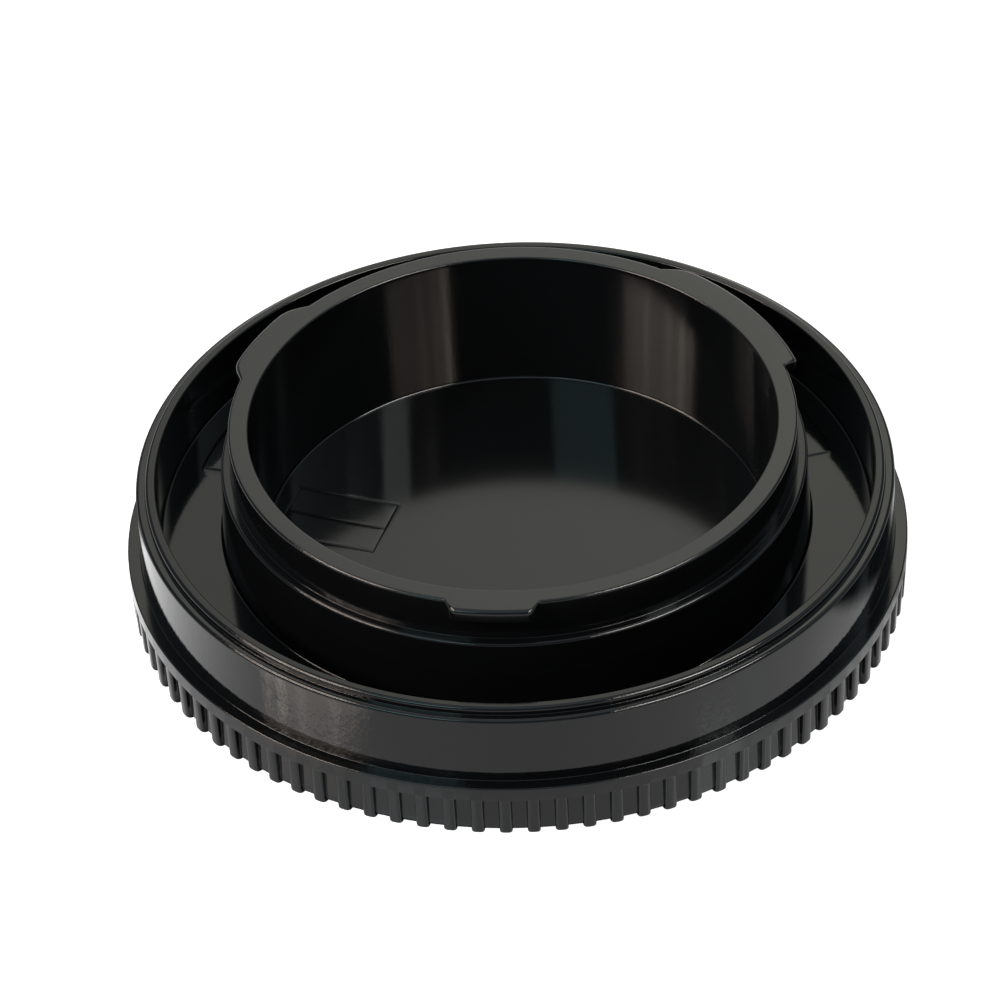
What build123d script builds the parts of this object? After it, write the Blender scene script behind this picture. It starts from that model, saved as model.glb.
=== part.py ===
from build123d import *
from math import cos, hypot, pi, radians, sin
import os

# Camera body cap: one black moulding, modelled front face down and bayonet side up.
# The origin is the middle of the plane that the cap rests on. Lengths are in millimetres.

# Widths, stacked outwards from the cup
cup_diameter = 41.5
ring_wall = 1.6
shoulder_step = 0.75
channel_width = 5.25
rim_wall = 1.5
ledge_width = 1.0

# Heights, stacked upwards from the front face
dish_depth = 2.0
cup_floor_thickness = 2.0
grip_height = 4.7
outer_wall_height = 6.5
ring_rise = 4.6
lug_thickness = 1.0
neck_height = 2.5
channel_depth = 5.3

# Moulding drafts: how much each wall leans over its own height
cup_draft = 0.65
tube_draft = 0.25
channel_draft = 0.35
outer_wall_draft = 0.15
grip_draft = 0.15
dish_draft = 0.5

# Front face and rim
dish_margin = 5.0
rim_step_width = 0.65
rim_step_drop = 0.6

# Eased edges
lug_corner_round = 0.35
cup_foot_bevel = 0.45
collar_bevel = 0.2
channel_bevel = 0.25
wall_foot_bevel = 0.2
dish_bevel = 0.25
rim_edge_bevel = 0.2
ring_edge_bevel = 0.15

# Grip ribs with eased tips: the valleys between them run out under a plain collar
rib_count = 90
rib_depth = 0.5
rib_tip_bevel = 0.2
rib_tip_width = 0.5
rib_shoulder_width = 0.78
rib_base_width = 0.98
collar_height = 1.2
first_rib_angle = 2.6

# Bayonet lugs: where each starts and ends at its root and at its tip, in degrees round the axis
lug_reach = 1.1
lug_root_depth = 0.3
lug_spans = {
    "narrow": (255.0, 257.0, 272.0, 273.6),
    "middle": (135.6, 139.9, 159.0, 163.1),
    "wide": (13.8, 14.7, 51.3, 55.9),
}

# Witness marks of the mould: a pad under each lug and a plate in the cup's floor
pad_width = 2.75
pad_height = 0.12
plate_length = 8.3
plate_width = 6.0
plate_gap = 0.4
plate_angle = 169.0
plate_turn = -20.0
plate_groove_width = 0.2
plate_groove_depth = 0.15

# Radii and heights that follow from the values above
cup_mouth_radius = cup_diameter / 2
cup_foot_radius = cup_mouth_radius - cup_draft
neck_radius = cup_mouth_radius + ring_wall
lug_radius = neck_radius + lug_reach
shoulder_radius = neck_radius + shoulder_step
tube_foot_radius = shoulder_radius + tube_draft
pad_radius = tube_foot_radius + pad_width
rim_inner_radius = shoulder_radius + channel_width
channel_foot_radius = rim_inner_radius - channel_draft
wall_top_radius = rim_inner_radius + rim_wall
wall_foot_radius = wall_top_radius + outer_wall_draft
step_radius = wall_top_radius - rim_step_width
grip_radius = wall_foot_radius + ledge_width
grip_foot_radius = grip_radius - grip_draft
dish_radius = grip_radius - dish_margin
rib_shoulder_radius = grip_radius - rib_tip_bevel
valley_radius = grip_radius - rib_depth
plate_middle_radius = cup_foot_radius - plate_gap - hypot(plate_length, plate_width) / 2

cup_floor_height = dish_depth + cup_floor_thickness
rim_height = grip_height + outer_wall_height
rim_step_height = rim_height - rim_step_drop
channel_floor_height = rim_height - channel_depth
ring_height = rim_height + ring_rise
lug_underside_height = ring_height - lug_thickness
shoulder_height = lug_underside_height - neck_height
valley_top_height = grip_height - collar_height


def on_circle(radius, angle):
    """Gives the point at a radius and an angle in degrees round the axis."""
    return (radius * cos(radians(angle)), radius * sin(radians(angle)))


def nearest(sketch, *places):
    """Picks the corner of the sketch that lies at each place."""
    return [sketch.vertices().sort_by_distance(place)[0] for place in places]


def sector_outline(inner_radius, outer_radius, span):
    """Draws a sector whose ends lean from a root at the inner radius to a tip at the outer one."""
    root_start, tip_start, tip_end, root_end = span
    with BuildLine() as outline:
        tip = ThreePointArc(
            on_circle(outer_radius, tip_start),
            on_circle(outer_radius, (tip_start + tip_end) / 2),
            on_circle(outer_radius, tip_end),
        )
        root = ThreePointArc(
            on_circle(inner_radius, root_start),
            on_circle(inner_radius, (root_start + root_end) / 2),
            on_circle(inner_radius, root_end),
        )
        Line(tip @ 0, root @ 0)
        Line(tip @ 1, root @ 1)
    return outline.line


def gap_between_ribs(radius, rib_width):
    """Gives half the gap that ribs of one width leave between them at a radius."""
    return pi * radius / rib_count - rib_width / 2


# The valley between two ribs: wide at its mouth, narrow at its floor
floor_gap = gap_between_ribs(valley_radius, rib_base_width)
shoulder_gap = gap_between_ribs(rib_shoulder_radius, rib_shoulder_width)
mouth_gap = gap_between_ribs(grip_radius, rib_tip_width)
cutter_radius = grip_radius + rib_tip_bevel
cutter_gap = 2 * mouth_gap - shoulder_gap

with BuildPart() as valley:
    with BuildSketch():
        with BuildLine():
            Polyline(
                (valley_radius, -floor_gap),
                (rib_shoulder_radius, -shoulder_gap),
                (cutter_radius, -cutter_gap),
                (cutter_radius, cutter_gap),
                (rib_shoulder_radius, shoulder_gap),
                (valley_radius, floor_gap),
                close=True,
            )
        make_face()
    extrude(amount=valley_top_height)

with BuildPart() as body_cap:
    # The whole section of the moulding, as points of radius and height
    dish_corner = (dish_radius, 0)
    collar = (grip_radius, grip_height)
    wall_foot = (wall_foot_radius, grip_height)
    wall_top = (wall_top_radius, rim_step_height)
    channel_outer_foot = (channel_foot_radius, channel_floor_height)
    channel_inner_foot = (tube_foot_radius, channel_floor_height)
    cup_foot = (cup_foot_radius, cup_floor_height)
    with BuildSketch(Plane.XZ) as section:
        with BuildLine():
            Polyline(
                (0, dish_depth),
                (dish_radius - dish_draft, dish_depth),
                dish_corner,
                (grip_foot_radius, 0),
                (grip_radius, valley_top_height),
                collar,
                wall_foot,
                wall_top,
                (step_radius, rim_step_height),
                (step_radius, rim_height),
                (rim_inner_radius, rim_height),
                channel_outer_foot,
                channel_inner_foot,
                (shoulder_radius, shoulder_height),
                (neck_radius, shoulder_height),
                (neck_radius, ring_height),
                (cup_mouth_radius, ring_height),
                cup_foot,
                (0, cup_floor_height),
                close=True,
            )
        make_face()
        chamfer(nearest(section, cup_foot), length=cup_foot_bevel)
        chamfer(nearest(section, collar), length=collar_bevel)
        chamfer(nearest(section, channel_outer_foot, channel_inner_foot), length=channel_bevel)
        chamfer(nearest(section, wall_foot), length=wall_foot_bevel)
        chamfer(nearest(section, dish_corner), length=dish_bevel)
        chamfer(nearest(section, wall_top), length=rim_edge_bevel)
    revolve(axis=Axis.Z)

    # Grip ribs, left standing between the valleys
    with PolarLocations(0, rib_count, start_angle=first_rib_angle + 180 / rib_count):
        add(valley.part, mode=Mode.SUBTRACT)

    # Bayonet lugs, flush with the ring's top, and the mould's pad below each
    for span in lug_spans.values():
        with BuildSketch(Plane.XY.offset(lug_underside_height)) as lug_plan:
            make_face(sector_outline(neck_radius - lug_root_depth, lug_radius, span).edges())
            tip_corners = lug_plan.vertices().group_by(lambda corner: corner.center().length)[-1]
            fillet(tip_corners, radius=lug_corner_round)
        extrude(amount=lug_thickness)
        start, end = span[0], span[-1]
        pad_span = (start, start, end, end)
        with BuildSketch(Plane.XY.offset(channel_floor_height - pad_height)):
            make_face(sector_outline(shoulder_radius, pad_radius, pad_span).edges())
        extrude(amount=2 * pad_height)

    # One bevel runs round the ring's top and out over the lugs
    ring_top = body_cap.faces().sort_by(Axis.Z)[-1]
    chamfer(ring_top.outer_wire().edges(), length=ring_edge_bevel)

    # Plate let into the mould for the cup's floor: a groove round it and one across it
    with BuildSketch(Plane.XY.offset(cup_floor_height)):
        with Locations(Location(on_circle(plate_middle_radius, plate_angle), plate_turn)):
            Rectangle(plate_length, plate_width)
            Rectangle(
                plate_length - 2 * plate_groove_width,
                plate_width - 2 * plate_groove_width,
                mode=Mode.SUBTRACT,
            )
            Rectangle(plate_length, plate_groove_width)
    extrude(amount=-plate_groove_depth, mode=Mode.SUBTRACT)

body_cap.part.label = "body_cap"

os.makedirs("parts", exist_ok=True)
export_step(body_cap.part, "parts/body_cap.step")
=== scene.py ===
from math import cos, pi, radians, sin

import bpy
import numpy as np
from mathutils import Matrix, Vector


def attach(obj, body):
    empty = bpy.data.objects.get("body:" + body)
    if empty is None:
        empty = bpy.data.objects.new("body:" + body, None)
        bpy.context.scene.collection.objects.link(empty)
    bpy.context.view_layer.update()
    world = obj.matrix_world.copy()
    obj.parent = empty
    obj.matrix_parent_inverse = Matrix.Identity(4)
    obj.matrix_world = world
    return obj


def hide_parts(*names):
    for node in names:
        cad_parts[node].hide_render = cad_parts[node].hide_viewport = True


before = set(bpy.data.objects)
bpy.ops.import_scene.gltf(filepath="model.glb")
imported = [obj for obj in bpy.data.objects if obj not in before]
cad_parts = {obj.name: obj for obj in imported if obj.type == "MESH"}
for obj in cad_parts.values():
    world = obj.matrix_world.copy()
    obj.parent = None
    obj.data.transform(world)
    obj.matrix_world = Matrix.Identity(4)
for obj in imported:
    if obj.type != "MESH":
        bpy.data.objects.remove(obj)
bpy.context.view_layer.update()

# Camera body cap, front face down and bayonet side up. Shape values are in millimetres and degrees.
MM = 0.001

# Section of the moulding
CUP_MOUTH = 20.75
CUP_FOOT = 20.1
NECK = 22.35
LUG_TIP = 23.45
SHOULDER = 23.1
TUBE_FOOT = 23.35
RIM_INNER = 28.35
CHANNEL_FOOT = 28.2
RIM_STEP = 29.2
WALL_TOP = 29.95
WALL_FOOT = 30.0
GRIP_TOP = 31.0
GRIP_FOOT = 30.85
DISH = 26.0
DISH_FLOOR = 25.5

DISH_HEIGHT = 2.0
CUP_FLOOR_HEIGHT = 4.0
GRIP_HEIGHT = 4.7
CHANNEL_HEIGHT = 5.9
RIM_STEP_HEIGHT = 10.6
RIM_HEIGHT = 11.2
SHOULDER_HEIGHT = 12.3
LUG_UNDERSIDE = 14.8
RING_HEIGHT = 15.8

# Roundings
FINE_ROUND = 0.05
EDGE_ROUND = 0.16
RING_ROUND = 0.2
LUG_ROUND = 0.35
CHANNEL_ROUND = 0.2
SHOULDER_ROUND = 0.25
RIM_ROUND = 0.28
WALL_FOOT_ROUND = 0.06
COLLAR_ROUND = 0.11
FRONT_ROUND = 0.25
VALLEY_FOOT_ROUND = 0.5
DISH_ROUND = 0.6
CUP_ROUND = 0.22
ARC_STEPS = 6

# Where two zones of the surface meet: how far from the nearest corner the first one stops, and where the
# next one starts
FRONT_JOIN = (1.0, 0.75)
LEDGE_JOIN = (0.45, 0.42)
RIM_JOIN = (0.3, 0.35)
NECK_JOIN = (0.5, 0.6)
RING_JOIN = (0.4, 0.6)
CUP_JOIN = 0.4
FLOOR_JOIN = 0.2

# The first ring round the middle of the front face, and the longest straight run in each zone
FIRST_RING = 0.5
FRONT_RUN = 6.0
WALL_RUN = 1.5
CHANNEL_RUN = 2.5
CUP_RUN = 3.0

# Grip ribs
RIB_COUNT = 90
FIRST_RIB = 2.6
VALLEY = 30.5
VALLEY_TOP = 3.5
VALLEY_LIP = 0.05
RIB_HALF_SHARE = 0.235
RIB_FULLNESS = 3.6
# Columns on each side of a rib's middle, as shares of its half width, and the rows between its foot and lip
RIB_COLUMNS = (0.4, 0.65, 0.8, 0.9, 0.96, 1.0, 1.12)
RIB_LOW_HEIGHT = 0.9
RIB_LOW_ROWS = 4
RIB_LIP_ROWS = 5

# Bayonet lugs: root, tip, tip and root, in degrees round the axis
LUGS = ((255.0, 257.0, 272.0, 273.6), (135.6, 139.9, 159.0, 163.1), (13.8, 14.7, 51.3, 55.9))
LUG_CORNER = 0.45
LUG_WINDOW = 1.2
LUG_COLUMNS = 18
# Half the height of the seam that takes in the lugs' undersides on the plain neck between them
SEAM_HALF = 0.02

# Witness marks of the mould
PAD_RADIUS = 26.1
PAD_HEIGHT = 0.08
PAD_EDGE = 0.2
# Rows down a pad's outer slope, how far inside it the next row lies, and where the lift fades up the walls
PAD_STEPS = 5
PAD_FLAT = 0.5
PAD_FADE = 0.1
PLATE_LENGTH = 8.3
PLATE_WIDTH = 6.0
PLATE_CENTRE = (-14.45, 2.75)
PLATE_TURN = -20.0
PLATE_GROOVE = 0.3
PLATE_GROOVE_DEPTH = 0.03
PLATE_STEP = 0.03
# How far the higher half is let in, as a share of the lower half's step
HIGH_HALF_SHARE = 0.4
# Grid lines of the plate: the close ones in groove widths from a groove's middle, and the wide ones
GROOVE_LINES = (-1.5, -0.5, -0.25, 0, 0.25, 0.5, 1.5)
WIDE_LINES = 9
WIDE_CLEARANCE = 3
FLOOR_RINGS = 6

# Columns round the axis
SMOOTH_COLUMNS = 288


class Skin:
    """Gathers the points and faces of one closed surface, strip by strip."""

    def __init__(self):
        self.points = []
        self.faces = []
        self.finishes = []
        self.count = 0

    def add_points(self, points):
        """Adds an array of points and gives their indices in the same shape."""
        shape = points.shape[:-1]
        size = int(np.prod(shape))
        self.points.append(points.reshape(-1, 3))
        indices = np.arange(self.count, self.count + size).reshape(shape)
        self.count += size
        return indices

    def add_faces(self, faces, finish):
        """Adds an array of faces with the same number of corners."""
        self.faces.append(faces)
        self.finishes.append(np.full(len(faces), finish))

    def add_rows(self, rows, finish):
        """Joins rows of indices that all have the same columns with four-cornered faces."""
        near = rows[:-1]
        far = rows[1:]
        corners = [near, np.roll(near, -1, axis=1), np.roll(far, -1, axis=1), far]
        self.add_faces(np.stack(corners, axis=-1).reshape(-1, 4), finish)

    def add_zip(self, near, near_angles, far, far_angles, finish):
        """Joins two rings with different columns: each edge gets a triangle to the last point passed on the
        other ring."""
        near_next = np.append(near_angles[1:], near_angles[0] + 360)
        far_next = np.append(far_angles[1:], far_angles[0] + 360)
        far_apex = far[last_before(far_angles, near_next, "right")]
        near_apex = near[last_before(near_angles, far_next, "left")]
        self.add_faces(np.stack([near, np.roll(near, -1), far_apex], axis=-1), finish)
        self.add_faces(np.stack([np.roll(far, -1), far, near_apex], axis=-1), finish)

    def add_pole(self, pole, ring, finish):
        """Closes the start of the surface with a fan of triangles round one point."""
        middle = np.full(len(ring), pole)
        self.add_faces(np.stack([np.roll(ring, -1), ring, middle], axis=-1), finish)

    def mesh(self, name):
        """Makes the mesh, with each point's normal averaged from its faces by their area."""
        points = np.concatenate(self.points) * MM
        mesh = bpy.data.meshes.new(name)
        mesh.from_pydata(points.tolist(), [], [face for part in self.faces for face in part.tolist()])
        mesh.polygons.foreach_set("material_index", np.concatenate(self.finishes).astype(np.int32))
        mesh.polygons.foreach_set("use_smooth", np.ones(len(mesh.polygons), dtype=bool))
        mesh.update()
        mesh.normals_split_custom_set_from_vertices(self.normals(points).tolist())
        return mesh

    def normals(self, points):
        """Sums the area vectors of all faces at each point, and scales the sums to length 1."""
        sums = np.zeros_like(points)
        for part in self.faces:
            corners = points[part]
            area = np.cross(corners[:, 2] - corners[:, 0], corners[:, -1] - corners[:, 1])
            if part.shape[1] == 3:
                area = np.cross(corners[:, 1] - corners[:, 0], corners[:, 2] - corners[:, 0])
            for column in range(part.shape[1]):
                np.add.at(sums, part[:, column], area)
        return sums / np.linalg.norm(sums, axis=1, keepdims=True)


def last_before(angles, targets, side):
    """Gives, for each target, the index of the last angle before it round the circle."""
    turns = np.concatenate([angles - 360, angles, angles + 360])
    return (np.searchsorted(turns, targets, side) - 1) % len(angles)


def outline(corners, steps=ARC_STEPS):
    """Works out a section's points. Each corner is a radius, a height and a rounding. Its arc touches both
    runs and turns from one touching point to the other round the arc's centre. Only the arcs' points are
    given, because a run is straight between two arcs. The first and the last corner are plain ends."""
    corners = np.array(corners, dtype=float)
    place = corners[1:-1, :2]
    rounding = corners[1:-1, 2:]
    back = corners[:-2, :2] - place
    ahead = corners[2:, :2] - place
    back /= np.linalg.norm(back, axis=1, keepdims=True)
    ahead /= np.linalg.norm(ahead, axis=1, keepdims=True)
    half = np.arccos(np.sum(back * ahead, axis=1, keepdims=True)) / 2
    bisector = back + ahead
    bisector /= np.linalg.norm(bisector, axis=1, keepdims=True)
    centre = place + bisector * rounding / np.sin(half)
    start = place + back * rounding / np.tan(half) - centre
    end = place + ahead * rounding / np.tan(half) - centre
    turn = np.pi - 2 * half
    share = np.linspace(0, 1, steps + 1)[None, :, None]
    turn = turn[:, None, :]
    arc = start[:, None, :] * np.sin((1 - share) * turn) + end[:, None, :] * np.sin(share * turn)
    arc = centre[:, None, :] + arc / np.sin(turn)
    return np.concatenate([corners[:1, :2], arc.reshape(-1, 2), corners[-1:, :2]])


def split_runs(section, longest):
    """Adds evenly spaced points to each run of a section that is longer than the given length."""
    parts = []
    for start, end in zip(section[:-1], section[1:]):
        pieces = int(np.ceil(np.linalg.norm(end - start) / longest))
        parts.append(start + (end - start) * np.linspace(0, 1, pieces, endpoint=False)[:, None])
    return np.concatenate(parts + [section[-1:]])


def turned(radii, heights, angles):
    """Sets radii and heights at angles round the axis: x is radius times cosine, y radius times sine."""
    radii, heights, turns = np.broadcast_arrays(radii, heights, np.radians(angles))
    return np.stack([radii * np.cos(turns), radii * np.sin(turns), heights], axis=-1)


def swept(section, angles):
    """Carries one section round the axis, unchanged at every angle."""
    return turned(section[:, :1], section[:, 1:], angles)


def blended(section, other, share, angles):
    """Carries a section round the axis. Each point lies on the straight line from its place on the section
    to its place on the other one, by the share at its angle."""
    radii = section[:, :1] + (other[:, :1] - section[:, :1]) * share
    heights = section[:, 1:] + (other[:, 1:] - section[:, 1:]) * share
    return turned(radii, heights, angles)


def smooth_step(value, start, end):
    """Rises from 0 to 1 between start and end as 3t squared less 2t cubed."""
    share = np.clip((value - start) / (end - start), 0, 1)
    return share * share * (3 - 2 * share)


def soft_least(first, second, rounding):
    """Gives the smaller of two values, less a rounded corner where they cross."""
    overlap = np.maximum(rounding - np.abs(first - second), 0) / rounding
    return np.minimum(first, second) - overlap * overlap * rounding / 4


def smooth_angles():
    """Evenly spaced columns."""
    return np.arange(SMOOTH_COLUMNS) * 360 / SMOOTH_COLUMNS


def rib_angles():
    """Columns that follow the ribs: on each pitch, one on the rib's middle and seven on each side of it. The
    last of the seven stands on the valley's floor, just past the rib's foot."""
    side = RIB_HALF_SHARE * np.array(RIB_COLUMNS)
    shares = np.sort(np.concatenate([[0.0], side, 1 - side]))
    pitches = np.arange(RIB_COUNT)[:, None] + shares[None, :]
    return np.sort((FIRST_RIB + pitches.ravel() * 360 / RIB_COUNT) % 360)


def lug_angles():
    """Evenly spaced columns, but with closer ones in a window round each end of each lug. An even column
    goes where it would stand in a window or less than half a column's width beside it."""
    even = smooth_angles()
    windows = []
    for root_start, tip_start, tip_end, root_end in LUGS:
        windows.append((root_start - PAD_EDGE, tip_start + LUG_WINDOW))
        windows.append((tip_end - LUG_WINDOW, root_end + PAD_EDGE))
    close = [np.linspace(start, end, LUG_COLUMNS) for start, end in windows]
    half_column = 180 / SMOOTH_COLUMNS
    for start, end in windows:
        even = even[(even < start - half_column) | (even > end + half_column)]
    return np.sort(np.concatenate([even] + close))


def valley_depth(angles, heights):
    """Share of the way from the rib's tip to the valley's floor: 1 less the height of a flattened arch. With
    n for the fullness, that height is the n-th root of 1 less the n-th power of the share of the rib's half
    width. It is the same on each pitch, and goes to nothing at a sharp lip under the collar."""
    pitch = (angles - FIRST_RIB) / 360 * RIB_COUNT
    side = np.clip(np.abs(pitch - np.round(pitch)) / RIB_HALF_SHARE, 0, 1)
    arch = (1 - side ** RIB_FULLNESS) ** (1 / RIB_FULLNESS)
    return (1 - arch) * (1 - smooth_step(heights, VALLEY_TOP - VALLEY_LIP, VALLEY_TOP))


def lug_reach(angles):
    """Share of a lug's full reach: the least of a ramp up from one root to its tip, a ramp down from the
    other tip to its root, and 1, with a rounded corner where two of them cross."""
    share = np.zeros_like(angles)
    for root_start, tip_start, tip_end, root_end in LUGS:
        rise = (angles - root_start) / (tip_start - root_start)
        fall = (root_end - angles) / (root_end - tip_end)
        ramp = soft_least(soft_least(rise, fall, LUG_CORNER), np.ones_like(angles), LUG_CORNER)
        share = np.maximum(share, np.clip(ramp, 0, 1))
    return share


def pad_share(angles, radii):
    """Share of a pad's height: 1 between a lug's two roots and inside the pads' radius, with short smooth
    slopes on all three sides."""
    share = np.zeros(np.broadcast_shapes(angles.shape, radii.shape))
    for lug in LUGS:
        start, end = lug[0], lug[-1]
        inside = smooth_step(angles, start - PAD_EDGE, start + PAD_EDGE)
        inside = inside * (1 - smooth_step(angles, end - PAD_EDGE, end + PAD_EDGE))
        share = np.maximum(share, inside)
    return share * (1 - smooth_step(radii, PAD_RADIUS, PAD_RADIUS + PAD_EDGE))


def front_rows(angles):
    """The dished front face, from its middle out almost to the foot of the grip."""
    section = outline([
        (FIRST_RING, DISH_HEIGHT, 0),
        (DISH_FLOOR, DISH_HEIGHT, DISH_ROUND),
        (DISH, 0, FRONT_ROUND),
        (GRIP_FOOT - FRONT_JOIN[0], 0, 0),
    ])
    return swept(split_runs(section, FRONT_RUN), angles)


def grip_rows(angles):
    """The grip band: each point lies between its place on the rib's tip and its place on the valley's floor,
    by the valley's depth at that angle. Both have their own foot, and share the collar above them."""
    start = (GRIP_FOOT - FRONT_JOIN[1], 0, 0)
    tip_foot = outline([start, (GRIP_FOOT, 0, FRONT_ROUND), (GRIP_TOP, VALLEY_TOP, 0)])[:-1]
    floor_foot = outline([start, (VALLEY, 0, VALLEY_FOOT_ROUND), (VALLEY, VALLEY_TOP, 0)])[:-1]
    low = np.linspace(RIB_LOW_HEIGHT, VALLEY_TOP - 2 * VALLEY_LIP, RIB_LOW_ROWS)
    lip = np.linspace(VALLEY_TOP - VALLEY_LIP, VALLEY_TOP, RIB_LIP_ROWS)
    heights = np.concatenate([low, lip])
    tips = GRIP_FOOT + (GRIP_TOP - GRIP_FOOT) * heights / VALLEY_TOP
    floors = np.full_like(heights, VALLEY)
    collar = outline([
        (GRIP_TOP, VALLEY_TOP, 0),
        (GRIP_TOP, GRIP_HEIGHT, COLLAR_ROUND),
        (WALL_FOOT + LEDGE_JOIN[0], GRIP_HEIGHT, 0),
    ])[1:]
    tip = np.concatenate([tip_foot, np.stack([tips, heights], axis=-1), collar])
    floor = np.concatenate([floor_foot, np.stack([floors, heights], axis=-1), collar])
    return blended(tip, floor, valley_depth(angles[None, :], floor[:, 1:]), angles)


def wall_rows(angles):
    """The ledge on top of the grip, the outer wall with its slight draft, and the rim with its step."""
    section = outline([
        (WALL_FOOT + LEDGE_JOIN[1], GRIP_HEIGHT, 0),
        (WALL_FOOT, GRIP_HEIGHT, WALL_FOOT_ROUND),
        (WALL_TOP, RIM_STEP_HEIGHT, RIM_ROUND),
        (RIM_STEP, RIM_STEP_HEIGHT, FINE_ROUND),
        (RIM_STEP, RIM_HEIGHT, RIM_ROUND),
        (RIM_STEP - RIM_JOIN[0], RIM_HEIGHT, 0),
    ])
    return swept(split_runs(section, WALL_RUN), angles)


def channel_rows(angles):
    """The channel, from the rim's inner edge down and across its floor, and up the tube to the neck. The
    floor is lifted by a pad's height times its share, which fades out up both walls."""
    outer = outline([
        (RIM_STEP - RIM_JOIN[1], RIM_HEIGHT, 0),
        (RIM_INNER, RIM_HEIGHT, EDGE_ROUND),
        (CHANNEL_FOOT, CHANNEL_HEIGHT, CHANNEL_ROUND),
        (PAD_RADIUS + 2 * PAD_EDGE, CHANNEL_HEIGHT, 0),
    ])
    pad_slope = np.linspace(PAD_RADIUS + PAD_EDGE, PAD_RADIUS, PAD_STEPS)
    slope = np.stack([pad_slope, np.full_like(pad_slope, CHANNEL_HEIGHT)], axis=-1)
    tube = outline([
        (PAD_RADIUS - PAD_FLAT, CHANNEL_HEIGHT, 0),
        (TUBE_FOOT, CHANNEL_HEIGHT, CHANNEL_ROUND),
        (SHOULDER, SHOULDER_HEIGHT, SHOULDER_ROUND),
        (NECK, SHOULDER_HEIGHT, FINE_ROUND),
        (NECK, SHOULDER_HEIGHT + NECK_JOIN[0], 0),
    ])
    section = np.concatenate([split_runs(outer, CHANNEL_RUN), slope, split_runs(tube, CHANNEL_RUN)])
    radii, heights = section[:, :1], section[:, 1:]
    lift = PAD_HEIGHT * pad_share(angles[None, :], radii)
    lift = lift * (1 - smooth_step(heights, CHANNEL_HEIGHT + PAD_FADE, CHANNEL_HEIGHT + CHANNEL_ROUND))
    return turned(radii, heights + lift, angles)


def ring_rows(angles):
    """The neck, the lugs and the ring's top. Each point lies between its place on the plain ring and its
    place on a lug's section, by the lug's reach at that angle. Between the lugs, the points of their
    undersides lie close together in a narrow seam on the neck."""
    end = (NECK - RING_JOIN[0], RING_HEIGHT, 0)
    lug = outline([
        (NECK, LUG_UNDERSIDE - NECK_JOIN[1], 0),
        (NECK, LUG_UNDERSIDE, FINE_ROUND),
        (LUG_TIP, LUG_UNDERSIDE, FINE_ROUND),
        (LUG_TIP, RING_HEIGHT, LUG_ROUND),
        end,
    ])
    edge = outline([(NECK, LUG_UNDERSIDE, 0), (NECK, RING_HEIGHT, RING_ROUND), end])[1:]
    seam = LUG_UNDERSIDE + np.linspace(-SEAM_HALF, SEAM_HALF, len(lug) - 1 - len(edge))
    plain = np.concatenate([lug[:1], np.stack([np.full_like(seam, NECK), seam], axis=-1), edge])
    top = outline([
        (NECK - RING_JOIN[1], RING_HEIGHT, 0),
        (CUP_MOUTH, RING_HEIGHT, EDGE_ROUND),
        (CUP_FOOT, CUP_FLOOR_HEIGHT, 0),
    ])[:-1]
    return np.concatenate([blended(plain, lug, lug_reach(angles)[None, :], angles), swept(top, angles)])


def cup_rows(angles):
    """The cup's wall, which narrows evenly towards its foot, and the rounding into its floor."""
    draft = (CUP_MOUTH - CUP_FOOT) / (RING_HEIGHT - CUP_FLOOR_HEIGHT)
    section = outline([
        (CUP_MOUTH - draft * CUP_JOIN, RING_HEIGHT - CUP_JOIN, 0),
        (CUP_FOOT, CUP_FLOOR_HEIGHT, CUP_ROUND),
        (0, CUP_FLOOR_HEIGHT, 0),
    ], steps=2 * ARC_STEPS)[:-1]
    return swept(split_runs(section, CUP_RUN), angles)


def plate_lines(length, inner):
    """Grid lines across the plate: close at its two edges and at the inner lines, and wide between them."""
    marks = np.concatenate([[-length / 2], inner, [length / 2]])
    close = (marks[:, None] + PLATE_GROOVE * np.array(GROOVE_LINES)).ravel()
    wide = np.linspace(-length / 2, length / 2, WIDE_LINES)
    nearest = np.min(np.abs(wide[:, None] - marks[None, :]), axis=1)
    return np.sort(np.concatenate([close, wide[nearest > WIDE_CLEARANCE * PLATE_GROOVE]]))


def groove(distance):
    """Depth of a groove at a distance from its line: full on the line, and smoothly less out to half the
    groove's width."""
    return PLATE_GROOVE_DEPTH * (1 - smooth_step(np.abs(distance), 0, PLATE_GROOVE / 2))


def plate_points():
    """The floor round the mould's plate: flat outside, a fine groove along the plate's edges and across its
    middle, and two halves that lie a hair lower than the floor, the one on the +y side lower than the
    other."""
    along = plate_lines(PLATE_LENGTH, [])
    across = plate_lines(PLATE_WIDTH, [0.0])
    x, y = np.meshgrid(along, across)
    edge = np.maximum(np.abs(x) - PLATE_LENGTH / 2, np.abs(y) - PLATE_WIDTH / 2)
    inside = 1 - smooth_step(edge, -PLATE_GROOVE / 2, PLATE_GROOVE / 2)
    depth = np.maximum(groove(edge), groove(y) * inside)
    low_half = 0.5 + 0.5 * np.sign(y) * smooth_step(np.abs(y), 0, PLATE_GROOVE / 2)
    depth = depth + inside * PLATE_STEP * (HIGH_HALF_SHARE + (1 - HIGH_HALF_SHARE) * low_half)
    turn = radians(PLATE_TURN)
    world_x = PLATE_CENTRE[0] + x * cos(turn) - y * sin(turn)
    world_y = PLATE_CENTRE[1] + x * sin(turn) + y * cos(turn)
    return np.stack([world_x, world_y, CUP_FLOOR_HEIGHT - depth], axis=-1)


def plate_loop(indices):
    """The indices round the edge of a grid, anticlockwise."""
    return np.concatenate([indices[0, :-1], indices[:-1, -1], indices[-1, :0:-1], indices[:0:-1, 0]])


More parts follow.
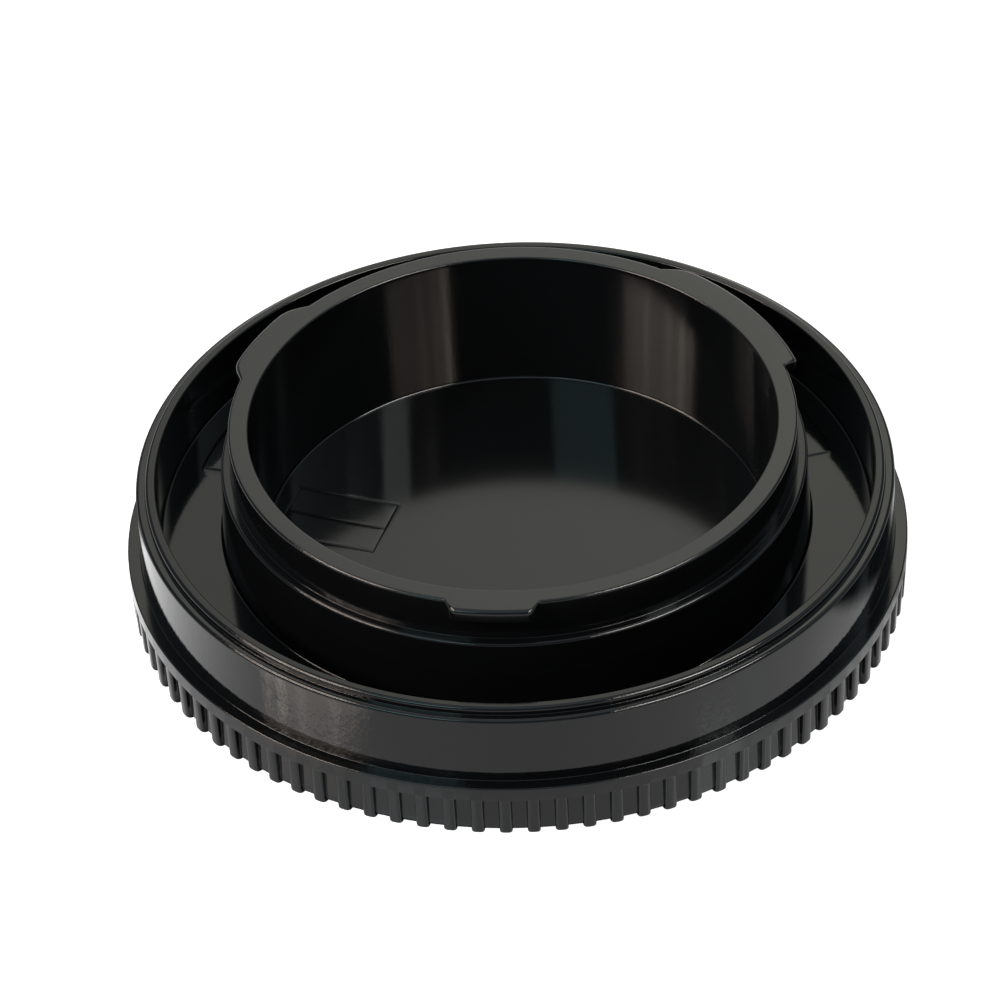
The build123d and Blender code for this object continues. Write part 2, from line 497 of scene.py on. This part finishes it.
def floor_rings(edge, radius):
    """Rings from the floor's round edge in towards the plate's square one, in equal steps. Each point moves
    along the straight line from the plate's middle through its place on the square edge, and starts where
    that line meets the circle."""
    centre = np.array(PLATE_CENTRE)
    ray = edge[:, :2] - centre
    ray /= np.linalg.norm(ray, axis=1, keepdims=True)
    along = np.sum(ray * centre, axis=1)
    reach = -along + np.sqrt(along ** 2 + radius ** 2 - np.sum(centre ** 2))
    rim = centre + ray * reach[:, None]
    share = np.linspace(0, 1, FLOOR_RINGS, endpoint=False)[:, None, None]
    flat = rim[None] + (edge[None, :, :2] - rim[None]) * share
    height = np.full(flat.shape[:2] + (1,), CUP_FLOOR_HEIGHT)
    return np.concatenate([flat, height], axis=-1)


# The finishes, as places in the list of the moulding's materials
FRONT, GRIP, WALL, CHANNEL, BAYONET, CUP, CUP_FLOOR = range(7)


def moulding():
    """The whole cap as one closed surface: from the middle of the front face out, up and over to the middle
    of the cup's floor."""
    skin = Skin()
    even, ribs, lugs = smooth_angles(), rib_angles(), lug_angles()
    pole = skin.add_points(np.array([[0.0, 0.0, DISH_HEIGHT]]))[0]
    zones = (
        (front_rows(even), even, FRONT),
        (grip_rows(ribs), ribs, GRIP),
        (wall_rows(even), even, WALL),
        (channel_rows(lugs), lugs, CHANNEL),
        (ring_rows(lugs), lugs, BAYONET),
        (cup_rows(even), even, CUP),
    )
    last = None
    for points, angles, finish in zones:
        rows = skin.add_points(points)
        skin.add_rows(rows, finish)
        if last is None:
            skin.add_pole(pole, rows[0], finish)
        else:
            skin.add_zip(last[0], last[1], rows[0], angles, finish)
        last = (rows[-1], angles)

    plate = plate_points()
    plate_rows = skin.add_points(plate)
    corners = [plate_rows[:-1, :-1], plate_rows[:-1, 1:], plate_rows[1:, 1:], plate_rows[1:, :-1]]
    skin.add_faces(np.stack(corners, axis=-1).reshape(-1, 4), CUP_FLOOR)
    loop = plate_loop(plate_rows)
    edge = plate.reshape(-1, 3)[loop - plate_rows[0, 0]]
    rings = floor_rings(edge, CUP_FOOT - CUP_ROUND - FLOOR_JOIN)
    angles = np.degrees(np.arctan2(rings[0, :, 1], rings[0, :, 0])) % 360
    # The rings start at their column nearest to azimuth 0, as the cup's rows do
    first = int(np.argmin(angles))
    loop = np.roll(loop, -first)
    rings = np.roll(rings, -first, axis=1)
    angles = np.roll(angles, -first)
    rows = skin.add_points(rings)
    skin.add_rows(np.concatenate([rows, loop[None]]), CUP_FLOOR)
    skin.add_zip(last[0], last[1], rows[0], angles, CUP_FLOOR)
    return skin.mesh("cap_moulding")


def node(tree, kind, place, **values):
    """Adds a shader node and sets its named properties and unlinked inputs."""
    made = tree.nodes.new(kind)
    made.location = place
    for name, value in values.items():
        if hasattr(made, name):
            setattr(made, name, value)
        else:
            made.inputs[name.replace("_", " ")].default_value = value
    return made


def maths(tree, operation, place, *sources, kind="ShaderNodeMath"):
    """Adds a maths node and gives its first output. Each source is another node's output or a plain value."""
    made = node(tree, kind, place, operation=operation)
    for socket, source in zip(made.inputs, sources):
        if isinstance(source, bpy.types.NodeSocket):
            tree.links.new(source, socket)
        else:
            socket.default_value = source
    return made.outputs[0]


def vector_maths(tree, operation, place, *sources):
    """The same for directions and places."""
    return maths(tree, operation, place, *sources, kind="ShaderNodeVectorMath")


def soft_ramp(tree, source, span, place, levels=(0.0, 1.0)):
    """Goes smoothly from the first level to the second while the source crosses the span."""
    ramp = node(tree, "ShaderNodeMapRange", place, interpolation_type="SMOOTHSTEP",
                From_Min=span[0], From_Max=span[1], To_Min=levels[0], To_Max=levels[1])
    tree.links.new(source, ramp.inputs["Value"])
    return ramp.outputs[0]


# Black plastic. Noise scales are per metre, but the drag lines' own is per unit of direction round the axis
PLASTIC_TINT = (0.0035, 0.0035, 0.0037, 1)
PLASTIC_IOR = 1.5
DRAG_SCALE = 70.0
DRAG_RISE = 12
CLOUD_SCALE = 120.0
GRAIN_SCALE = 3500.0
PATTERN_STRENGTH = 0.8
RELIEF_HEIGHT = 0.00002
MIDDLE_GREY = 0.5

# Finishes in the order of the zones: name, gloss, roughness, drag, clouding, grain and relief
FINISHES = (
    ("front_finish", 0.5, 0.35, 0.2, 0.5, 0.6, 0.5),
    ("grip_finish", 0.5, 0.12, 0.2, 0.4, 0.5, 0.4),
    ("wall_finish", 0.5, 0.06, 0.8, 0.3, 0.2, 0.5),
    ("channel_finish", 0.4, 0.08, 0.3, 0.3, 0.2, 0.4),
    ("bayonet_finish", 0.55, 0.15, 0.3, 0.3, 0.3, 0.4),
    ("cup_finish", 0.45, 0.08, 0.4, 0.3, 0.1, 0.4),
    ("cup_floor_finish", 0.45, 0.14, 0.2, 0.4, 0.2, 0.3),
)


def plastic_group():
    """Moulded plastic: drag lines up the walls, faint clouding and fine specks, for colour, roughness and
    height."""
    group = bpy.data.node_groups.new("moulded_plastic", "ShaderNodeTree")
    face = group.interface
    for name, default in (("Drag", 0.5), ("Clouding", 0.5), ("Grain", 0.5), ("Roughness", 0.2)):
        socket = face.new_socket(name=name, in_out="INPUT", socket_type="NodeSocketFloat")
        socket.default_value = default
    tint = face.new_socket(name="Tint", in_out="INPUT", socket_type="NodeSocketColor")
    tint.default_value = PLASTIC_TINT
    face.new_socket(name="Color", in_out="OUTPUT", socket_type="NodeSocketColor")
    face.new_socket(name="Roughness", in_out="OUTPUT", socket_type="NodeSocketFloat")
    face.new_socket(name="Height", in_out="OUTPUT", socket_type="NodeSocketFloat")
    link = group.links.new
    inputs = node(group, "NodeGroupInput", (-1400, 0))
    outputs = node(group, "NodeGroupOutput", (900, 0))
    place = node(group, "ShaderNodeTexCoord", (-1400, -300)).outputs["Object"]

    def pattern(source, name, y, **values):
        """Noise at the source's place, less its middle grey and times the named input."""
        noise = node(group, "ShaderNodeTexNoise", (-600, y), **values)
        link(source, noise.inputs["Vector"])
        shift = maths(group, "SUBTRACT", (-400, y), noise.outputs["Fac"], MIDDLE_GREY)
        return maths(group, "MULTIPLY", (-200, y), shift, inputs.outputs[name])

    # The drag lines run up the walls, because their place changes fast round the axis and slowly with height
    flat = vector_maths(group, "MULTIPLY", (-1200, -300), place, (1, 1, 0))
    around = vector_maths(group, "NORMALIZE", (-1000, -300), flat)
    rise = vector_maths(group, "MULTIPLY", (-1000, -500), place, (0, 0, DRAG_RISE))
    drag_place = vector_maths(group, "ADD", (-800, -400), around, rise)
    drag = pattern(drag_place, "Drag", -400, Scale=DRAG_SCALE, Detail=4.0, Roughness=0.6)
    cloud = pattern(place, "Clouding", -100, Scale=CLOUD_SCALE, Detail=4.0, Roughness=0.55)
    grain = pattern(place, "Grain", -700, Scale=GRAIN_SCALE, Detail=2.0, Roughness=0.5)

    both = maths(group, "ADD", (0, -100), drag, cloud)
    change = maths(group, "MULTIPLY_ADD", (200, -100), both, PATTERN_STRENGTH, 1.0)
    rough = maths(group, "MULTIPLY", (400, 0), inputs.outputs["Roughness"], change)
    rough.node.use_clamp = True
    link(rough, outputs.inputs["Roughness"])
    colour = node(group, "ShaderNodeVectorMath", (400, 200), operation="SCALE")
    link(inputs.outputs["Tint"], colour.inputs[0])
    link(change, colour.inputs["Scale"])
    link(colour.outputs[0], outputs.inputs["Color"])
    link(maths(group, "ADD", (400, -300), drag, grain), outputs.inputs["Height"])
    return group


def plastic(name, group, gloss, roughness, drag, clouding, grain, relief):
    """One finish of the moulding."""
    material = bpy.data.materials.new(name)
    material.use_nodes = True
    tree = material.node_tree
    link = tree.links.new
    shader = tree.nodes["Principled BSDF"]
    shader.inputs["IOR"].default_value = PLASTIC_IOR
    shader.inputs["Specular IOR Level"].default_value = gloss
    made = node(tree, "ShaderNodeGroup", (-600, 0), node_tree=group)
    for socket, value in zip(made.inputs, (drag, clouding, grain, roughness)):
        socket.default_value = value
    bump = node(tree, "ShaderNodeBump", (-300, -300), Strength=relief, Distance=RELIEF_HEIGHT)
    link(made.outputs["Color"], shader.inputs["Base Color"])
    link(made.outputs["Roughness"], shader.inputs["Roughness"])
    link(made.outputs["Height"], bump.inputs["Height"])
    link(bump.outputs["Normal"], shader.inputs["Normal"])
    return material


# Camera
CAMERA_DISTANCE = 0.4632
CAMERA_ELEVATION = 40.172
CAMERA_ROLL = 2.466
CAMERA_PAN = 0.153
CAMERA_TILT = 0.714
FOCAL_PIXELS = 5783.4
IMAGE_PIXELS = 1001
SENSOR_WIDTH = 36.0
NEAR_CLIP = 0.01


def add_camera():
    """A camera in front of and above the cap, aimed at the origin and then panned, tilted and rolled."""
    elevation = radians(CAMERA_ELEVATION)
    place = Vector((0, -cos(elevation), sin(elevation))) * CAMERA_DISTANCE
    forward = -place.normalized()
    right = Vector((1, 0, 0))
    aim = Matrix((right, right.cross(forward), forward))
    aim = Matrix.Rotation(radians(CAMERA_PAN), 3, "Y") @ aim
    aim = Matrix.Rotation(radians(CAMERA_TILT), 3, "X") @ aim
    aim = Matrix.Rotation(radians(CAMERA_ROLL), 3, "Z") @ aim
    turned_back = Matrix((aim[0], aim[1], -aim[2])).transposed()
    data = bpy.data.cameras.new("camera")
    data.sensor_width = SENSOR_WIDTH
    data.lens = SENSOR_WIDTH * FOCAL_PIXELS / IMAGE_PIXELS
    data.clip_start = NEAR_CLIP
    camera = bpy.data.objects.new("camera", data)
    camera.matrix_world = Matrix.Translation(place) @ turned_back.to_4x4()
    bpy.context.scene.collection.objects.link(camera)
    bpy.context.scene.camera = camera


# Lamps. They all face the cap from one distance. Angles are in degrees, sizes in metres.
LAMP_DISTANCE = 0.9
WARM = (1.0, 0.86, 0.74)
FAINTLY_WARM = (1.0, 0.95, 0.9)
PLAIN = (1.0, 1.0, 1.0)
FAINTLY_COOL = (0.95, 1.0, 1.0)
COOL = (0.75, 0.95, 1.0)
TEAL = (0.6, 1.0, 1.0)

KEY = (204.5, 38.3)
KEY_HEIGHT = 0.047
KEY_LOW = (199.5, 31.5)
KEY_LOW_HEIGHT = 0.08
STRIP_ELEVATION = 33
STRIP_HEIGHT = 0.08

# Lamps that gloss sees: name, azimuth, elevation, width, height, radiance and colour
SOFTBOXES = (
    ("key_softbox", *KEY, 0.47, KEY_HEIGHT, 16, WARM),
    ("key_low_softbox", *KEY_LOW, 0.51, KEY_LOW_HEIGHT, 15, WARM),
    ("key_edge_softbox", 180, 56, 0.56, 0.1, 14, WARM),
    ("strip_softbox", 310, STRIP_ELEVATION, 0.37, STRIP_HEIGHT, 7, WARM),
    ("strip_edge_softbox", 333, 56, 0.5, 0.12, 24, FAINTLY_WARM),
    ("side_softbox", 329, 45, 0.156, 0.16, 9, FAINTLY_COOL),
    ("teal_softbox", 235, 46, 0.335, 0.14, 4.5, TEAL),
    ("sky_softbox", 8, 46, 0.8, 0.14, 1.0, COOL),
)

# Bright tubes in the key softboxes: the turn from the softbox's middle, and a brightness, which each softbox
# multiplies by a gain of its own
KEY_TUBES = ((-16.5, 10), (-11.5, 15), (-4, 6), (0, 9), (7.5, 8), (13, 2))
KEY_TUBE_WIDTH = 0.027
KEY_GAIN = 1.6
KEY_LOW_GAIN = 1.7
# Bright tubes in the strip softbox: azimuth and radiance
STRIP_TUBES = ((297, 26), (302, 6), (308.5, 4))
STRIP_TUBE_WIDTH = 0.03


def add_softbox(name, azimuth, elevation, width, height, radiance, colour, glossy=True):
    """A rectangular lamp that faces the cap from an azimuth and an elevation. Either gloss sees it, or it
    only lights matt surfaces, so the two can be set apart. Its power is its radiance times its area times
    pi."""
    data = bpy.data.lights.new(name, "AREA")
    data.shape = "RECTANGLE"
    data.size = width
    data.size_y = height
    data.energy = radiance * pi * width * height
    data.color = colour
    lamp = bpy.data.objects.new(name, data)
    lamp.visible_glossy = glossy
    lamp.visible_diffuse = not glossy
    turn, rise = radians(azimuth), radians(elevation)
    place = Vector((cos(turn) * cos(rise), sin(turn) * cos(rise), sin(rise))) * LAMP_DISTANCE
    lamp.location = place
    lamp.rotation_euler = place.to_track_quat("Z", "Y").to_euler()
    bpy.context.scene.collection.objects.link(lamp)


def add_lamps():
    """One lamp for the matt table, and the softboxes and tubes that show in the gloss."""
    add_softbox("table_lamp", 206, 37, 0.2, 0.1, 80, PLAIN, glossy=False)
    for softbox in SOFTBOXES:
        add_softbox(*softbox)
    width = KEY_TUBE_WIDTH
    for number, (turn, bright) in enumerate(KEY_TUBES):
        for name, (azimuth, elevation), height, gain in (
            ("key_tube", KEY, KEY_HEIGHT, KEY_GAIN),
            ("key_low_tube", KEY_LOW, KEY_LOW_HEIGHT, KEY_LOW_GAIN),
        ):
            add_softbox(f"{name}_{number}", azimuth + turn, elevation, width, height, gain * bright, WARM)
    for number, (azimuth, radiance) in enumerate(STRIP_TUBES):
        name = f"strip_tube_{number}"
        add_softbox(name, azimuth, STRIP_ELEVATION, STRIP_TUBE_WIDTH, STRIP_HEIGHT, radiance, WARM)


WHITE = (1, 1, 1, 1)
BLACK = (0, 0, 0, 1)

# Floor, in metres
FLOOR_REACH = 3.0
FLOOR_GLOW = 0.95
FLOOR_GLOSS = 0.5
FLOOR_ROUGHNESS = 0.05
FLOOR_COLOUR = (0.66, 0.66, 0.66, 1)
FLOOR_LEVEL = 0.7
# Painted pools of light on the table, seen only in the gloss: place, the distances of plain and brightest,
# and how much
PAINTED_FLOOR_LIGHT = (
    ((-0.045, 0.005, 0), (0.038, 0.0), 1.0),
    ((0.026, -0.033, 0), (0.025, 0.0), 0.15),
    ((0.030, -0.0155, 0), (0.006, 0.0), 0.12),
)
# Painted shadows on the table beside the cap, seen only in the gloss: place, and the distances of black and
# plain
PAINTED_FLOOR_SHADOWS = (
    ((0.0425, -0.001, 0), (0.0088, 0.0138)),
    ((0.0425, -0.009, 0), (0.0068, 0.0098)),
    ((-0.040, 0.0135, 0), (0.0088, 0.0118)),
)
# Painted shade under the cap and between its ribs: there the table is black in the gloss, and has no gloss of
# its own. The distances of black and plain
CAP_MIDDLE = (0.0, 0.0, 0)
PAINTED_CAP_SHADE = (0.0303, 0.0309)


def add_floor():
    """A wide pale floor. The camera sees it as white, and it keeps the cap's shadow. Gloss sees it only as a
    glow at a plain level, with painted pools of light and painted shadows beside the cap and painted black
    shade under it."""
    mesh = bpy.data.meshes.new("floor")
    signs = ((-1, -1), (1, -1), (1, 1), (-1, 1))
    corners = [(x * FLOOR_REACH, y * FLOOR_REACH, 0) for x, y in signs]
    mesh.from_pydata(corners, [], [(0, 1, 2, 3)])
    floor = bpy.data.objects.new("floor", mesh)
    bpy.context.scene.collection.objects.link(floor)
    material = bpy.data.materials.new("pale_floor")
    material.use_nodes = True
    tree = material.node_tree
    link = tree.links.new
    shader = tree.nodes["Principled BSDF"]
    shader.inputs["Roughness"].default_value = FLOOR_ROUGHNESS
    shader.inputs["Emission Color"].default_value = WHITE
    path = node(tree, "ShaderNodeLightPath", (-1400, 0)).outputs
    place = node(tree, "ShaderNodeTexCoord", (-1400, -600)).outputs["Object"]

    def near(spot, span, y, gain=1.0):
        """Goes smoothly from nothing to the gain while the distance from the spot crosses the span."""
        distance = node(tree, "ShaderNodeVectorMath", (-1200, y), operation="DISTANCE")
        distance.inputs[1].default_value = spot
        link(place, distance.inputs[0])
        return soft_ramp(tree, distance.outputs["Value"], span, (-1000, y), (0.0, gain))

    # Glow that only gloss sees: the table's plain level, with painted pools of light added
    level = FLOOR_LEVEL
    for number, (spot, span, gain) in enumerate(PAINTED_FLOOR_LIGHT):
        y = -300 - 200 * number
        level = maths(tree, "ADD", (-800, y), near(spot, span, y, gain), level)
    # Painted shadows beside the cap take that glow down to black
    for number, (spot, span) in enumerate(PAINTED_FLOOR_SHADOWS):
        y = -900 - 200 * number
        level = maths(tree, "MULTIPLY", (-600, y), level, near(spot, span, y))
    # Painted shade: under the cap and between its ribs the glow and the table's gloss go to black
    beside = near(CAP_MIDDLE, PAINTED_CAP_SHADE, -1500)
    level = maths(tree, "MULTIPLY", (-600, -1500), level, beside)
    seen = maths(tree, "MULTIPLY", (-400, -500), level, path["Is Glossy Ray"])
    glow = maths(tree, "MULTIPLY_ADD", (-200, -300), path["Is Camera Ray"], FLOOR_GLOW, seen)
    link(glow, shader.inputs["Emission Strength"])

    # Gloss sees no colour of the table's own, so the lamps' real shadow drops out of the reflections and the
    # painted glow stands in for the lit table
    colour = node(tree, "ShaderNodeMix", (-200, 200), data_type="RGBA")
    link(path["Is Glossy Ray"], colour.inputs["Factor"])
    colour.inputs[6].default_value = FLOOR_COLOUR
    colour.inputs[7].default_value = BLACK
    link(colour.outputs[2], shader.inputs["Base Color"])
    # The table's own gloss: none to the camera, and none in the painted shade under the cap
    gloss = maths(tree, "MULTIPLY_ADD", (-200, 0), path["Is Camera Ray"], -FLOOR_GLOSS, FLOOR_GLOSS)
    link(maths(tree, "MULTIPLY", (0, 0), gloss, beside), shader.inputs["Specular IOR Level"])
    floor.data.materials.append(material)


# Studio round the cap. A place in it is the share of a direction along x, y or z.
WORLD_LIGHT = 0.6
WORLD_COLOUR = (0.9, 1.0, 1.08, 1)
BACKDROP = (0.97, 0.95, 0.84, 1)
BACKDROP_BEHIND = (0.58, 0.72)
BACKDROP_ACROSS = (-0.09, 0.09)
BACKDROP_LEVELS = (0.86, 1.2)
BACKDROP_SIDES = (0.32, 0.16)
ROOM_GLOSS = 0.18
CEILING_GLOSS = 0.65
CEILING_HEIGHT = (0.84, 0.95)
ROOM_COLOUR = (0.86, 1.0, 1.08, 1)


def add_world():
    """White to the camera, and one plain level to matt surfaces. Gloss sees a pale backdrop behind the cap,
    brighter on its right, and a dim room with a paler ceiling."""
    world = bpy.data.worlds.new("studio")
    bpy.context.scene.world = world
    world.use_nodes = True
    tree = world.node_tree
    link = tree.links.new
    path = node(tree, "ShaderNodeLightPath", (-600, 200)).outputs
    place = node(tree, "ShaderNodeTexCoord", (-1000, -400))
    parts = node(tree, "ShaderNodeSeparateXYZ", (-800, -400))
    link(place.outputs["Generated"], parts.inputs[0])
    x, y, z = parts.outputs

    behind = soft_ramp(tree, y, BACKDROP_BEHIND, (-600, -400))
    across = soft_ramp(tree, x, BACKDROP_ACROSS, (-600, -700), BACKDROP_LEVELS)
    aside = maths(tree, "ABSOLUTE", (-800, -900), x)
    sides = soft_ramp(tree, aside, BACKDROP_SIDES, (-600, -900))
    wide = maths(tree, "MULTIPLY", (-400, -700), across, sides)
    level = maths(tree, "MULTIPLY", (-400, -500), behind, wide)
    backdrop = node(tree, "ShaderNodeBackground", (-300, -400), Color=BACKDROP)
    link(level, backdrop.inputs["Strength"])
    room = node(tree, "ShaderNodeBackground", (-300, -600), Color=ROOM_COLOUR)
    ceiling = soft_ramp(tree, z, CEILING_HEIGHT, (-600, -1200), (ROOM_GLOSS, CEILING_GLOSS))
    link(ceiling, room.inputs["Strength"])
    around = node(tree, "ShaderNodeAddShader", (-100, -500))
    link(backdrop.outputs[0], around.inputs[0])
    link(room.outputs[0], around.inputs[1])

    def mixed(place, share, first, second):
        """Goes from the first shader to the second by the share."""
        mix = node(tree, "ShaderNodeMixShader", place)
        for socket, source in zip(mix.inputs, (share, first, second)):
            link(source, socket)
        return mix.outputs[0]

    plain = tree.nodes["Background"]
    plain.inputs["Color"].default_value = WORLD_COLOUR
    plain.inputs["Strength"].default_value = WORLD_LIGHT
    white = node(tree, "ShaderNodeBackground", (0, -200), Color=WHITE, Strength=1.0)
    gloss = mixed((0, 0), path["Is Glossy Ray"], plain.outputs[0], around.outputs[0])
    shown = mixed((200, 0), path["Is Camera Ray"], gloss, white.outputs[0])
    link(shown, tree.nodes["World Output"].inputs["Surface"])


cap = bpy.data.objects.new("cap_moulding", moulding())
bpy.context.scene.collection.objects.link(cap)
group = plastic_group()
for finish, *values in FINISHES:
    cap.data.materials.append(plastic(finish, group, *values))
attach(cap, "root")
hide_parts("body_cap")

add_camera()
add_floor()
add_world()
add_lamps()
bpy.context.scene.view_settings.view_transform = "Standard"
